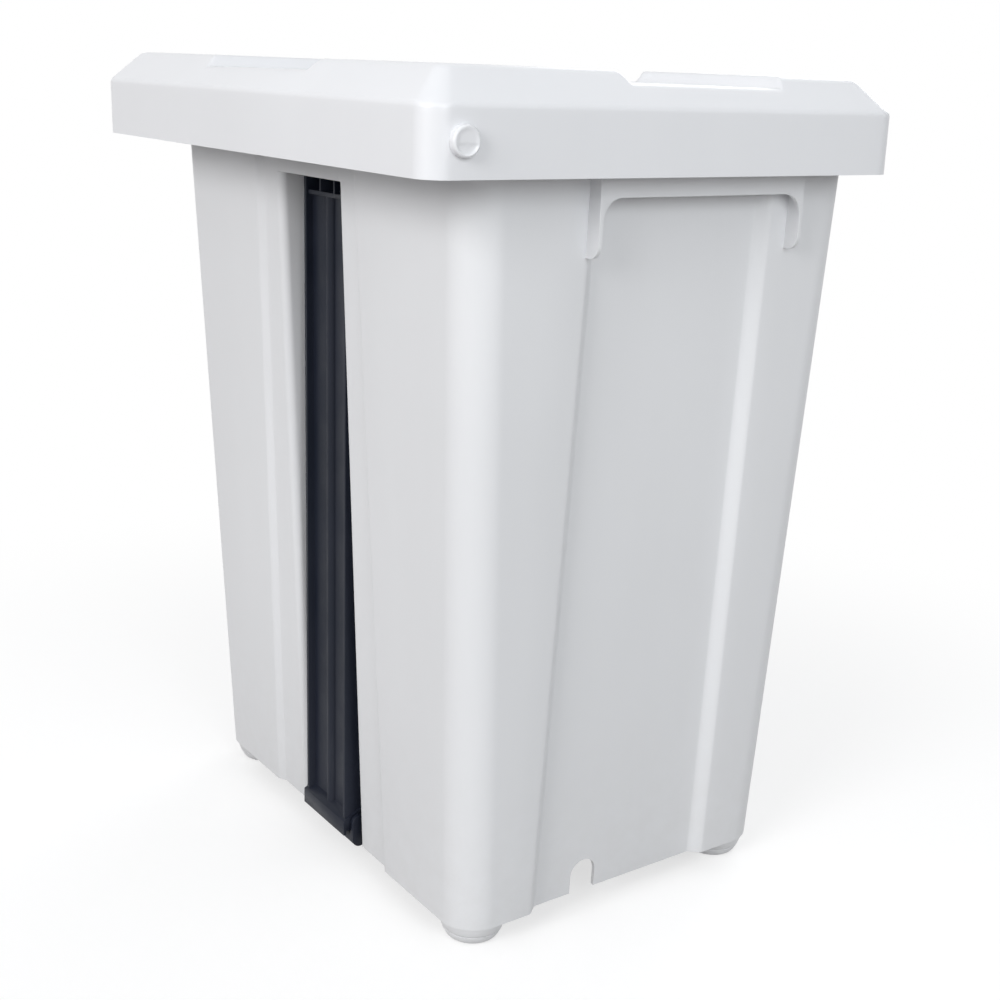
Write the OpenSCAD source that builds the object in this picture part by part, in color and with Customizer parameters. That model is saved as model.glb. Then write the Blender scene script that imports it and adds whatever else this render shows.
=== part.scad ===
// Pedal bin, about 60 litres, for wards and clinics.
// +Z is up, the pedal is at -Y, the push rod and the hinge are at +Y.
// Heights are measured from the floor that the bin stands on.

/* [Lid] */
// Width of the lid over its skirt
lid_w = 500; // [460:5:560]
// Depth of the lid over its skirt
lid_d = 390; // [360:5:440]
// Wall of the lid moulding
lid_wall = 2.5; // [2:0.1:3.5]
// Height of the lid skirt
skirt_h = 42; // [36:1:52]
// Height of the bevel above the skirt
bevel_h = 22; // [16:1:28]
// How far the bevel leans in
bevel_in = 22; // [14:1:28]
// Corner radius of the lid skirt
lid_corner = 22; // [14:1:34]
// Depth of the cross-shaped recess between the corner pads
recess_h = 8; // [4:1:10]
// Width of the recess that runs from front to back
recess_w = 152; // [100:2:200]
// Depth of the recess that runs from side to side
recess_d = 128; // [90:2:170]

/* [Body] */
// Height of the body's rim
rim_z = 593; // [520:1:710]
// Gap from the lid's rear skirt to the body's rear wall, at the rim
rear_inset = 50; // [46:1:60]
// Gap from the lid's front skirt to the body's front wall, at the rim
front_inset = 4.5; // [4:0.5:14]
// Gap from the lid's side skirt to the body's side wall, at the rim
side_inset = 32; // [30:1:40]
// Width of the body at the floor
foot_w = 400; // [360:5:430]
// Depth of the body at the floor
foot_d = 292; // [260:4:320]
// Wall of the body moulding
body_wall = 3; // [2.5:0.1:4]
// Corner radius of the body
body_corner = 28; // [22:1:36]
// Height of the skirt's lower edge above the floor
hem_z = 17; // [12:1:20]
// Height of the underside of the bin's flat bottom
base_z = 69; // [66:1:90]
// Depth of the panel pressed into each side
side_panel_t = 7.5; // [3:0.5:9]
// Depth of the panel pressed into the back and the front
end_panel_t = 4; // [2:0.5:6]
// Radius of the notch in the lower edge of each side
notch_r = 10; // [6:1:14]

/* [Hand grips] */
// Height of the grip's lower edge
grip_z = 541; // [490:1:565]
// How far the grip stands out from the side
grip_out = 11.5; // [7:0.5:14]
// Length of the webs below the grip
grip_web_h = 39; // [20:1:60]

/* [Rod slot] */
// Width of the slot in the back
slot_w = 89; // [86:1:110]
// Height of the top of the slot
slot_z = 539; // [480:1:541]
// Height of the bridge above the slot
bridge_h = 12; // [10:1:24]

/* [Push rod] */
// Width of the push rod
rod_w = 64; // [50:1:66]
// Depth of the push rod's channel section
rod_t = 20; // [14:1:24]
// Wall of the push rod
rod_wall = 3; // [2.5:0.1:4]
// Half width of the foot of the push rod
shoe_half = 34; // [30:1:36]

/* [Hinge] */
// Diameter of the hinge pins
pin_d = 12; // [8:0.5:14]
// Diameter of the head of a hinge pin
pin_head_d = 19; // [15:0.5:24]
// How far a hinge pin's head stands out of the lid
pin_head_t = 5; // [3:0.5:8]
// Distance from the lid's rear face to the hinge axis
hinge_back = 24; // [22:0.5:26]
// Radial running clearance in the hinge ears
pin_fit = 0.08; // [0.02:0.01:0.1]

/* [Motion] */
// How far the lid opens
open_deg = 75; // [60:1:80]
// Distance from the hinge axis to the lift pin
lift_r = 26; // [22:0.5:28]
// Diameter of the lift pin
lift_pin_d = 6; // [4:0.5:7]
// Distance from the pedal axle to the cradle at the back of the lever
lever_back = 126; // [110:1:140]
// Distance from the pedal axle to the tip of the pedal
lever_front = 197; // [180:1:215]
// Height of the pedal axle
axle_z = 45; // [43:1:49]
// Diameter of the pedal axle
axle_d = 10; // [8:0.5:12]
// Width of the pedal
pedal_w = 130; // [100:2:160]

/* [Hidden] */
$fn = 48;

white = "#e4e6ea";
charcoal = "#30343c";
steel = "#b9bdc2";
rubber = "#3a3b3d";

gap = 0.3;        // air between neighbours that only rest on each other
eps = 0.5;        // overshoot of a cut past the face that it opens
far = 1000;       // larger than the bin

// Heights of the lid, closed
rim_cover = 38;   // how far the lid's skirt reaches below the rim
skirt_z = rim_z - rim_cover;
bevel_z = skirt_z + skirt_h;
top_z = bevel_z + bevel_h;
ceiling_z = top_z - recess_h - lid_wall;
pad_round = 12;
lid_top_corner = 7;
rib_h = 9;
rib_t = 2;
rib_x = 58;

// The frame's Y = 0 is the middle of the whole bin, pedal tip included; the values that end in 0 are measured
// from the middle of the lid instead
rod_setback = 18.5;       // from the rear wall at the skirt line to the rod's open face
hinge_z = skirt_z + skirt_h / 2 + 1;
hinge_y0 = lid_d / 2 - hinge_back;
rod_face_y0 = lid_d / 2 - rear_inset - rod_setback;
rod_y0 = rod_face_y0 - rod_t / 2;
axle_y0 = rod_y0 - lever_back;
pedal_tip_y0 = axle_y0 - lever_front;
shift_y = (-pedal_tip_y0 - lid_d / 2) / 2;

lid_y = shift_y;
recess_y = lid_y - 26;    // middle of the recess that runs from side to side
hinge_y = hinge_y0 + shift_y;
rod_y = rod_y0 + shift_y;
rod_face_y = rod_face_y0 + shift_y;
axle_y = axle_y0 + shift_y;
pedal_tip_y = pedal_tip_y0 + shift_y;

// Body outline: half widths and end walls at the rim's skirt line and at the floor
top_half = lid_w / 2 - side_inset;
foot_half = foot_w / 2;
top_rear = lid_y + lid_d / 2 - rear_inset;
top_front = lid_y - lid_d / 2 + front_inset;
foot_mid = (top_rear + top_front) / 2;
foot_rear = foot_mid + foot_d / 2;
foot_front = foot_mid - foot_d / 2;

// Edges of the pressed panels, each at the floor and at the skirt line, and the run of their sloping ends
side_rear_edge = [foot_mid + 87, lid_y + 50];
side_front_edge = [foot_mid - 84, lid_y - 110];
side_slope = 15;
end_edge = [92, 76];
end_slope = 11;
panel_reach = 20;         // how far the prisms reach past the wall

// Notch in the lower edge of each side
notch_y = lid_y + 12;
notch_z = hem_z + 14;

// Rod slot and the channel behind it
slot_half = slot_w / 2;
channel_y = rod_face_y - rod_t - 4;
window_z = slot_z + bridge_h;

// Lift linkage: the pin swings evenly above and below the hinge's height
lift_a = open_deg / 2;
lift_y = hinge_y - lift_r * cos(lift_a);
lift_z = hinge_z - lift_r * sin(lift_a);
lift_drift = lift_r * (1 - cos(lift_a));
head_half = 16;
head_h = 16;
lug_t = 5;
lug_gap = 4;
lug_r = 7;
bracket_z = ceiling_z - 10;
bracket_t = 4;
bracket_half = 42;
bracket_y0 = lift_y - 12;
bracket_y1 = hinge_y + 6;
bracket_screw_x = 34;
bracket_screw_y = [bracket_y0 + 6, bracket_y1 - 6];
lug_x = head_half + lug_gap;
lift_play = 0.8;
lift_clip_t = 1.2;
lift_groove = 0.6;
lift_clip_x = lug_x + lug_t + gap;
screw_len = 12;
seat_fit = 0.05;
screw_d = 3.5;
screw_head_d = 7;
screw_head_t = 2.4;

// Axle bearings under the bottom
bearing_x = 60;
bearing_w = 12;
bearing_half_d = 24;
cap_h = 11;
cap_screw_y = 17;
cap_screw_len = 22;
cap_screw_d = 4;

// Lever: the cradle carries the foot of the push rod
cradle_r = 6.5;
cradle_z = hem_z + 1.5;
cheek_t = 4;      // cheeks beside the push rod's foot
cheek_h = 14;
cradle_half = shoe_half + gap + 5;
cradle_y = rod_y;
cradle_reach = norm([cradle_y - axle_y, cradle_z - axle_z]);
cradle_drift = cradle_reach - (cradle_y - axle_y);
shoe_z = cradle_z + 15;
shoe_bottom = cradle_z + 3.5;
shoe_front = 11;
shoe_rear = 12;
rod_bay_z = slot_z - 16;
rod_rib_r = 5;
rod_dish = 6;              // from the rod's open face to its web
axle_clip_t = 1.5;
axle_groove = 0.8;
axle_clip_x = bearing_x + bearing_w + gap;
hub_r = 9;
hub_half = bearing_x - 2;
lever_arm_x = 25;
lever_arm_t = 6;
tread_z = 61;
tread_d = 56;
tread_t = 7;
tread_pad_t = 3;

// Hinge ears on the body, inside the lid skirt
ear_in = lid_w / 2 - 21;
ear_out = lid_w / 2 - 9;
ear_r = 12;
ear_root_y = top_rear - 40;
flange_z = hinge_z + 2;
flange_t = 3;
clip_t = 1.5;
clip_groove = 0.8;
clip_r = pin_d / 2 + 3;
clip_x = ear_in - clip_t - 2 * gap;
pin_end = clip_x - 2;
hinge_gap = 0.5;

// Lid buffers stand on the side flanges
buffer_y = lid_y - 150;
buffer_x = lid_w / 2 - 22;
buffer_r = 6;
buffer_top = rim_z + 3;
buffer_stem_r = 3;

// Hand grips
grip_rear_y = lid_y + 53;
grip_front_y = lid_y - 128;
grip_web_t = 5;
grip_round = 12;

// Feet
foot_r = 26;
foot_tip_r = 20;
foot_cap_h = 8;
foot_stem_r = 5;
foot_stem_h = 9;
foot_boss_h = 16;

// Toe space: the bottom climbs towards the front above the pedal
toe_start_y = axle_y + 22;
toe_z = base_z + 106;
toe_run = toe_start_y - body_front(toe_z) + 10;
arch_half = 84;
arch_z = toe_z - 22;
arch_r = 30;

// ---- outlines and solids shared by the parts ----

// Points round a rectangle with rounded corners, counter-clockwise
function round_rect(x0, x1, y0, y1, r, n = 8) = [
    for (c = [[x1 - r, y1 - r, 0], [x0 + r, y1 - r, 90], [x0 + r, y0 + r, 180], [x1 - r, y0 + r, 270]])
        for (i = [0:n])
            [c[0] + r * cos(c[2] + 90 * i / n), c[1] + r * sin(c[2] + 90 * i / n)]
];

// Solid through outlines of equal length; each level is [height, outline]
module loft(levels) {
    n = len(levels[0][1]);
    m = len(levels);
    points = [for (l = levels) for (p = l[1]) [p[0], p[1], l[0]]];
    sides = [for (k = [0:m - 2]) for (i = [0:n - 1]) let (j = (i + 1) % n)
        [k * n + i, (k + 1) * n + i, (k + 1) * n + j, k * n + j]];
    bottom = [[for (i = [0:n - 1]) i]];
    top = [[for (i = [n - 1:-1:0]) (m - 1) * n + i]];
    polyhedron(points, concat(bottom, sides, top), convexity = 4);
}

// Box given by two opposite corners
module block(a, b) {
    translate(a) cube(b - a);
}

// Cylinder along X between two places
module bar_x(x0, x1, y, z, r) {
    translate([x0, y, z]) rotate([0, 90, 0]) cylinder(h = x1 - x0, r = r);
}

// Plate in the YZ plane between two places along X
module plate_x(x0, x1, points) {
    translate([x0, 0, 0]) rotate([90, 0, 90]) linear_extrude(height = x1 - x0) polygon(points);
}

// The same thing on both sides of the bin
module both_sides() {
    for (m = [0, 1]) mirror([m, 0, 0]) children();
}

function body_x(z) = foot_half + (top_half - foot_half) * z / skirt_z;
function body_rear(z) = foot_rear + (top_rear - foot_rear) * z / skirt_z;
function body_front(z) = foot_front + (top_front - foot_front) * z / skirt_z;
function body_outline(z, inset) = round_rect(-body_x(z) + inset, body_x(z) - inset,
    body_front(z) + inset, body_rear(z) - inset, body_corner - inset);

module body_taper(z0, z1, inset) {
    loft([[z0, body_outline(z0, inset)], [z1, body_outline(z1, inset)]]);
}

// ---- body ----

// A pressed panel is a shallow tapering prism with sloping ends; grow widens it behind the wall

function side_panel(z, t, grow) = let (
        k = z / skirt_z,
        r = side_rear_edge[0] + (side_rear_edge[1] - side_rear_edge[0]) * k + grow,
        f = side_front_edge[0] + (side_front_edge[1] - side_front_edge[0]) * k - grow,
        w = body_x(z), s = side_slope)
    [[w - t, f + s], [w + panel_reach, f - s * panel_reach / side_panel_t],
     [w + panel_reach, r + s * panel_reach / side_panel_t], [w - t, r - s]];

function end_panel(y, out, z, t, grow) = let (
        e = end_edge[0] + (end_edge[1] - end_edge[0]) * z / skirt_z + grow,
        s = end_slope, o = panel_reach, q = e + s * o / end_panel_t)
    out > 0 ? [[e - s, y - t], [q, y + o], [-q, y + o], [-e + s, y - t]]
            : [[-e + s, y + t], [-q, y - o], [q, y - o], [e - s, y + t]];

module pressed_panels(z0, z1, inset) {
    grow = inset * 0.6;
    both_sides()
        loft([for (z = [z0, z1]) [z, side_panel(z, side_panel_t + inset, grow)]]);
    loft([for (z = [z0, z1]) [z, end_panel(body_rear(z), 1, z, end_panel_t + inset, grow)]]);
    loft([for (z = [z0, z1]) [z, end_panel(body_front(z), -1, z, end_panel_t + inset, grow)]]);
}

module body_solid() {
    difference() {
        body_taper(hem_z, rim_z, 0);
        pressed_panels(-10, rim_z + 10, 0);
    }
}

module body_hollow() {
    difference() {
        body_taper(-5, rim_z + 5, body_wall);
        pressed_panels(-10, rim_z + 10, body_wall);
    }
}

// The bottom: flat at the back, climbing over the pedal at the front
module bottom_plate() {
    back = body_rear(0) + 60;
    plate_x(-far / 2, far / 2, [[back, base_z], [toe_start_y, base_z],
        [toe_start_y - toe_run, toe_z], [toe_start_y - toe_run, toe_z + body_wall],
        [toe_start_y, base_z + body_wall], [back, base_z + body_wall]]);
}

// Walls of the channel that the push rod runs in
module channel_walls() {
    both_sides() block([slot_half, channel_y - body_wall, hem_z],
        [slot_half + body_wall, body_rear(rim_z) + 5, rim_z]);
    block([-slot_half - body_wall, channel_y - body_wall, base_z], [slot_half + body_wall, channel_y, rim_z]);
}

// Blocks at the top of the slot that keep the rod square in its channel
module rod_guides() {
    both_sides() block([rod_w / 2 + gap, channel_y - 1, slot_z + 2],
        [slot_half + 1, rod_face_y - 1, window_z - 1]);
}

// Room for the rod: the slot, the space behind the bridge, and the window above it
module channel_space() {
    outside = body_rear(rim_z) + 20;
    behind_bridge = body_rear(slot_z) - end_panel_t - body_wall;
    difference() {
        union() {
            block([-slot_half, channel_y, -eps], [slot_half, outside, slot_z]);
            block([-slot_half, channel_y, slot_z - eps], [slot_half, behind_bridge, rim_z + eps]);
            block([-slot_half, channel_y, window_z], [slot_half, outside, rim_z + eps]);
        }
        rod_guides();
    }
}

// Flange and hinge ear on each side, hidden inside the lid skirt
module side_flange() {
    wall_x = body_x(flange_z);
    block([wall_x - body_wall, buffer_y - 16, flange_z], [ear_out, hinge_y - clip_r - 2, flange_z + flange_t]);
    block([wall_x - body_wall, ear_root_y, flange_z - 9], [wall_x + 3, hinge_y - 16, flange_z + flange_t]);
    bar_x(ear_in, ear_out, hinge_y, hinge_z, ear_r);
    block([ear_in, ear_root_y, hinge_z - 7], [ear_out, hinge_y, hinge_z + 8]);
}

// Grip: a turned-down lip with a web at each end; fingers go up behind it
module hand_grip() {
    r = grip_round;
    wall_x = body_x(grip_z - grip_web_h) - side_panel_t - 1;
    out_x = body_x(grip_z) + grip_out;
    y0 = grip_front_y + grip_web_t;
    y1 = grip_rear_y - grip_web_t;
    difference() {
        block([wall_x, grip_front_y, grip_z - grip_web_h], [out_x, grip_rear_y, flange_z + 1]);
        for (y = [y0 + r, y1 - r]) bar_x(wall_x - 1, out_x + 1, y, grip_z - r, r);
        block([wall_x - 1, y0, grip_z - grip_web_h - 1], [out_x + 1, y1, grip_z - r]);
        block([wall_x - 1, y0 + r, grip_z - r - 1], [out_x + 1, y1 - r, grip_z]);
        block([wall_x - 1, y0, grip_z - r], [out_x - body_wall, y1, flange_z]);
    }
}

// Lower half of each axle bearing is a separate cap
module axle_bearing() {
    z = base_z + body_wall - 1;
    difference() {
        block([bearing_x, axle_y - bearing_half_d, axle_z + gap / 2],
            [bearing_x + bearing_w, axle_y + bearing_half_d, base_z + 26]);
        plate_x(bearing_x - 1, bearing_x + bearing_w + 1, [[axle_y + far, z], [toe_start_y, z],
            [toe_start_y - toe_run, z + toe_z - base_z], [axle_y - far, far], [axle_y + far, far]]);
    }
}

module foot_boss(x, y) {
    translate([x, y, foot_cap_h]) cylinder(h = hem_z - foot_cap_h, r1 = foot_radius(foot_cap_h), r2 = foot_r);
    translate([x, y, hem_z]) cylinder(h = foot_boss_h, r = foot_r - 1.5);
}

function foot_radius(z) = foot_tip_r + (foot_r - foot_tip_r) * z / hem_z;
function foot_x() = foot_half - body_corner + (body_corner - foot_r) * cos(45);
function foot_y(rear) = rear ? foot_rear - body_corner + (body_corner - foot_r) * sin(45)
                             : foot_front + body_corner - (body_corner - foot_r) * sin(45);

module bin_body() {
    color(white) difference() {
        union() {
            difference() {
                body_solid();
                difference() {
                    body_hollow();
                    bottom_plate();
                    channel_walls();
                    rod_guides();
                }
            }
            both_sides() {
                side_flange();
                hand_grip();
                axle_bearing();
                for (rear = [false, true]) foot_boss(foot_x(), foot_y(rear));
            }
        }
        channel_space();
        both_sides() {
            // hinge bore
            bar_x(ear_in - 1, ear_out + 1, hinge_y, hinge_z, pin_d / 2 + pin_fit);
            // axle seat and its screws
            bar_x(bearing_x - 1, bearing_x + bearing_w + 1, axle_y, axle_z, axle_d / 2 + 0.05);
            for (s = [-1, 1])
                translate([bearing_x + bearing_w / 2, axle_y + s * cap_screw_y, axle_z - 1])
                    cylinder(h = cap_screw_len - cap_h + 2, r = cap_screw_d / 2);
            // notch in the lower edge of the side
            bar_x(foot_half - 30, foot_half + 20, notch_y, notch_z, notch_r);
            block([foot_half - 30, notch_y - notch_r, -eps], [foot_half + 20, notch_y + notch_r, notch_z]);
            // seat of the lid buffer
            translate([buffer_x, buffer_y, flange_z - 1]) cylinder(h = flange_t + 2, r = buffer_stem_r);
            // sockets of the foot caps
            for (rear = [false, true])
                translate([foot_x(), foot_y(rear), -1])
                    cylinder(h = foot_cap_h + foot_stem_h + 2, r = foot_stem_r);
        }
        toe_arch();
    }
}

// Arched opening for the foot in the front wall
module toe_arch() {
    y0 = foot_front - 60;
    y1 = body_front(arch_z) + 16;
    both_sides() translate([arch_half - arch_r, y1, arch_z - arch_r]) rotate([90, 0, 0])
        cylinder(h = y1 - y0, r = arch_r);
    block([-arch_half, y0, -eps], [arch_half, y1, arch_z - arch_r]);
    block([-arch_half + arch_r, y0, -eps], [arch_half - arch_r, y1, arch_z]);
}

// ---- lid ----

function lid_outline(inset, r) = round_rect(-lid_w / 2 + inset, lid_w / 2 - inset,
    lid_y - lid_d / 2 + inset, lid_y + lid_d / 2 - inset, r);

// The lid's full form before the recess, as an outer skin or an inner one
module lid_form(inset) {
    bend = inset * (sqrt(2) - 1);
    loft([[skirt_z - (inset > 0 ? eps : 0), lid_outline(inset, lid_corner - inset)],
        [bevel_z - bend, lid_outline(inset, lid_corner - inset)],
        [top_z - inset, lid_outline(bevel_in + bend, lid_top_corner)]]);
}

// One corner pad, with walls that slope at 45 degrees down to the recess
module lid_pad(sx, sy, z0, z1, inset) {
    y_edge = recess_y + sy * recess_d / 2;
    function reach(z) = z - (top_z - recess_h) + inset;
    levels = [for (z = [z0, z1]) let (
            x = recess_w / 2 + reach(z), y = y_edge + sy * reach(z),
            xs = sx > 0 ? [x, lid_w] : [-lid_w, -x],
            ys = sy > 0 ? [y, y + lid_d] : [y - lid_d, y])
        [z, round_rect(xs[0], xs[1], ys[0], ys[1], pad_round)]];
    loft(levels);
}

// Everything up to the recess floor, and the four pads above it
module lid_levels(floor_z, pad_z, inset) {
    block([-far, -far, 0], [far, far, floor_z]);
    for (sx = [-1, 1]) for (sy = [-1, 1]) lid_pad(sx, sy, floor_z - 1, pad_z, inset);
}

module lid_ribs() {
    z0 = ceiling_z - rib_h;
    z1 = ceiling_z + lid_wall / 2;
    both_sides() block([rib_x, lid_y - lid_d / 2 + 30, z0], [rib_x + rib_t, lid_y + lid_d / 2 - 30, z1]);
    for (y = [recess_y - recess_d / 2 + 8, recess_y + recess_d / 2 - 8])
        block([-lid_w / 2 + 30, y, z0], [lid_w / 2 - 30, y + rib_t, z1]);
}

module lid() {
    color(white) difference() {
        union() {
            difference() {
                intersection() {
                    lid_form(0);
                    lid_levels(top_z - recess_h, top_z + 1, 0);
                }
                intersection() {
                    lid_form(lid_wall);
                    lid_levels(ceiling_z, top_z, lid_wall);
                }
            }
            lid_ribs();
            both_sides() {
                bar_x(ear_out + hinge_gap, lid_w / 2 - lid_wall / 2, hinge_y, hinge_z, ear_r);
                translate([buffer_x, buffer_y, buffer_top + gap])
                    cylinder(h = bevel_z + 15 - buffer_top - gap, r = buffer_r);
                for (y = bracket_screw_y) translate([bracket_screw_x, y, bracket_z + bracket_t])
                    cylinder(h = ceiling_z + lid_wall / 2 - bracket_z - bracket_t, r = 4.5);
            }
        }
        both_sides() {
            bar_x(ear_out - 1, lid_w / 2 + 1, hinge_y, hinge_z, pin_d / 2 + seat_fit);
            for (y = bracket_screw_y) translate([bracket_screw_x, y, bracket_z])
                cylinder(h = screw_len, r = screw_d / 2 + seat_fit);
        }
    }
}

// ---- hinge ----

module on_side(side) {
    mirror([side < 0 ? 1 : 0, 0, 0]) children();
}

// Pin with a broad head outside the lid and a groove for its clip
module hinge_pin(side) {
    edge = 1.2;
    head = lid_w / 2;
    color(white) on_side(side) difference() {
        union() {
            bar_x(pin_end, head, hinge_y, hinge_z, pin_d / 2);
            bar_x(head, head + pin_head_t - edge, hinge_y, hinge_z, pin_head_d / 2);
            translate([head + pin_head_t - edge, hinge_y, hinge_z]) rotate([0, 90, 0])
                cylinder(h = edge, r1 = pin_head_d / 2, r2 = pin_head_d / 2 - edge);
        }
        difference() {
            bar_x(clip_x, clip_x + clip_t + gap, hinge_y, hinge_z, pin_d / 2 + 1);
            bar_x(clip_x - 1, clip_x + clip_t + 1, hinge_y, hinge_z, pin_d / 2 - clip_groove);
        }
    }
}

// Ring split at the bottom, pushed into the groove of a pin
module clip_ring(x, y, z, t, r_in, r_out) {
    difference() {
        bar_x(x, x + t, y, z, r_out);
        bar_x(x - 1, x + t + 1, y, z, r_in);
        block([x - 1, y - r_in / 2, z - r_out - 1], [x + t + 1, y + r_in / 2, z]);
    }
}

module hinge_clip(side) {
    color(steel) on_side(side)
        clip_ring(clip_x + gap / 2, hinge_y, hinge_z, clip_t, pin_d / 2 - clip_groove + seat_fit, clip_r);
}

module hinge_pin_left() { hinge_pin(-1); }
module hinge_pin_right() { hinge_pin(1); }
module hinge_clip_left() { hinge_clip(-1); }
module hinge_clip_right() { hinge_clip(1); }

// ---- lift bracket under the lid ----

module lift_bracket() {
    color(charcoal) difference() {
        union() {
            block([-bracket_half, bracket_y0, bracket_z], [bracket_half, bracket_y1, bracket_z + bracket_t]);
            both_sides() {
                plate_x(lug_x, lug_x + lug_t, [[lift_y - lug_r, lift_z], [lift_y + lug_r, lift_z],
                    [bracket_y1, bracket_z + 1], [bracket_y0, bracket_z + 1]]);
                bar_x(lug_x, lug_x + lug_t, lift_y, lift_z, lug_r);
            }
        }
        bar_x(-lug_x - lug_t - 1, lug_x + lug_t + 1, lift_y, lift_z, lift_pin_d / 2 + seat_fit);
        both_sides() for (y = bracket_screw_y) translate([bracket_screw_x, y, bracket_z - 1])
            cylinder(h = bracket_t + 2, r = screw_d / 2 + 0.3);
    }
}

// Pan-head screw pointing up, its head under z
module screw(x, y, z, length, d, head_d, head_t) {
    translate([x, y, z]) cylinder(h = length, r = d / 2);
    difference() {
        translate([x, y, z - head_t]) cylinder(h = head_t, r = head_d / 2);
        for (a = [0, 90]) translate([x, y, z - head_t]) rotate([0, 0, a])
            cube([head_d * 0.6, head_d * 0.15, head_t], center = true);
    }
}

module lift_bracket_screws() {
    color(steel) both_sides() for (y = bracket_screw_y)
        screw(bracket_screw_x, y, bracket_z, screw_len - 1, screw_d, screw_head_d, screw_head_t);
}

module lift_pin() {
    end = lift_clip_x + lift_clip_t + 2;
    color(steel) difference() {
        bar_x(-end, end, lift_y, lift_z, lift_pin_d / 2);
        both_sides() difference() {
            bar_x(lift_clip_x - gap / 2, lift_clip_x + lift_clip_t + gap / 2, lift_y, lift_z, lift_pin_d);
            bar_x(lug_x, far / 10, lift_y, lift_z, lift_pin_d / 2 - lift_groove);
        }
    }
}

module lift_pin_clips() {
    color(steel) both_sides() clip_ring(lift_clip_x, lift_y, lift_z, lift_clip_t,
        lift_pin_d / 2 - lift_groove + seat_fit, lift_pin_d / 2 + 2.5);
}

// ---- push rod ----

module push_rod() {
    back = rod_face_y - rod_t;
    web_y = rod_face_y - rod_dish;
    top = slot_z + 4;
    head_z = [lift_z - head_h / 2, lift_z + head_h / 2];
    color(charcoal) difference() {
        union() {
            // web, flanges and the round rib down the middle
            block([-rod_w / 2, web_y - rod_wall, shoe_z], [rod_w / 2, web_y, rod_bay_z + rod_wall]);
            block([-rod_w / 2, back, rod_bay_z], [rod_w / 2, back + rod_wall, top]);
            both_sides() block([rod_w / 2 - rod_wall, back, shoe_z], [rod_w / 2, rod_face_y, top]);
            translate([0, web_y - 1, shoe_z]) cylinder(h = rod_bay_z - shoe_z, r = rod_rib_r);
            // cross rib, three bays above it, and the top
            block([-rod_w / 2, back, rod_bay_z], [rod_w / 2, rod_face_y - 2, rod_bay_z + rod_wall]);
            both_sides() block([rod_w / 6 - 1, back, rod_bay_z], [rod_w / 6 + 1, rod_face_y - 2, top]);
            block([-rod_w / 2, back, top - rod_wall], [rod_w / 2, rod_face_y, top]);
            // neck, and the head that reaches back over the bridge
            block([-head_half, back, top - 1], [head_half, rod_face_y, head_z[1]]);
            block([-head_half, back, head_z[0]], [head_half, lift_y + head_h / 2, head_z[1]]);
            // foot
            block([-shoe_half, cradle_y - shoe_front, shoe_bottom],
                [shoe_half, cradle_y + shoe_rear, shoe_z + 1]);
            plate_x(-shoe_half, shoe_half, [[back, shoe_z], [cradle_y + shoe_rear, shoe_z],
                [cradle_y + shoe_rear, shoe_z + 1], [back, shoe_z + 12]]);
        }
        // the lift pin swings forward a little as it rises
        for (y = [lift_y - lift_drift, lift_y])
            bar_x(-head_half - 1, head_half + 1, y, lift_z, lift_pin_d / 2 + lift_play);
        block([-head_half - 1, lift_y - lift_drift, lift_z - lift_pin_d / 2 - lift_play],
            [head_half + 1, lift_y, lift_z + lift_pin_d / 2 + lift_play]);
        // room for the lever's side arms
        both_sides() block([lever_arm_x - 1, back - 1, -1],
            [shoe_half + 1, cradle_y - cradle_r + 1.5, cradle_z + 12]);
        // seat over the lever's cradle
        block([-shoe_half - 1, cradle_y - cradle_r - 0.6, -1],
            [shoe_half + 1, cradle_y + cradle_r + cradle_drift + 0.6, cradle_z + cradle_r + gap]);
    }
}

// ---- pedal lever ----

module pedal_lever() {
    arm = 7;
    under = tread_z;
    tip = pedal_tip_y;
    inner = tip + tread_d;
    color(charcoal) difference() {
        union() {
            bar_x(-hub_half, hub_half, axle_y, axle_z, hub_r);
            bar_x(-cradle_half, cradle_half, cradle_y, cradle_z, cradle_r);
            both_sides() {
                // cheeks that keep the push rod's foot on the cradle
                block([cradle_half - cheek_t, cradle_y - cradle_r, cradle_z],
                    [cradle_half, cradle_y + cradle_r, cradle_z + cheek_h]);
                bar_x(cradle_half - cheek_t, cradle_half, cradle_y, cradle_z + cheek_h, cradle_r);
                // side arms
                plate_x(lever_arm_x, lever_arm_x + lever_arm_t, [
                    [cradle_y, cradle_z - cradle_r + 1], [cradle_y, cradle_z + cradle_r - 2],
                    [axle_y + 4, axle_z + hub_r - 1], [axle_y - 6, axle_z + hub_r - 1],
                    [inner, under + 1], [tip + 8, under + 1], [tip + 8, under - 3], [inner - 6, under - arm],
                    [axle_y - 6, axle_z - hub_r + 2], [axle_y + 4, axle_z - hub_r]]);
            }
            // cross ribs between the arms
            for (k = [0.3, 0.7]) translate([-lever_arm_x - 1, axle_y + (cradle_y - axle_y) * k,
                    axle_z + (cradle_z - axle_z) * k - 4])
                cube([2 * lever_arm_x + 2, 3, 8]);
            for (k = [0.35, 0.7]) translate([-lever_arm_x - 1, axle_y + (inner - axle_y) * k,
                    axle_z + (under - axle_z) * k - 6])
                cube([2 * lever_arm_x + 2, 3, 9]);
            // tread plate
            translate([0, 0, under]) linear_extrude(height = tread_t)
                polygon(round_rect(-pedal_w / 2, pedal_w / 2, tip, inner, 10));
            for (x = [-pedal_w / 2 + 6, pedal_w / 2 - 9])
                block([x, tip + 6, under - 5], [x + 3, inner - 4, under + 1]);
        }
        bar_x(-hub_half - 1, hub_half + 1, axle_y, axle_z, axle_d / 2 + pin_fit);
    }
}

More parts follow.
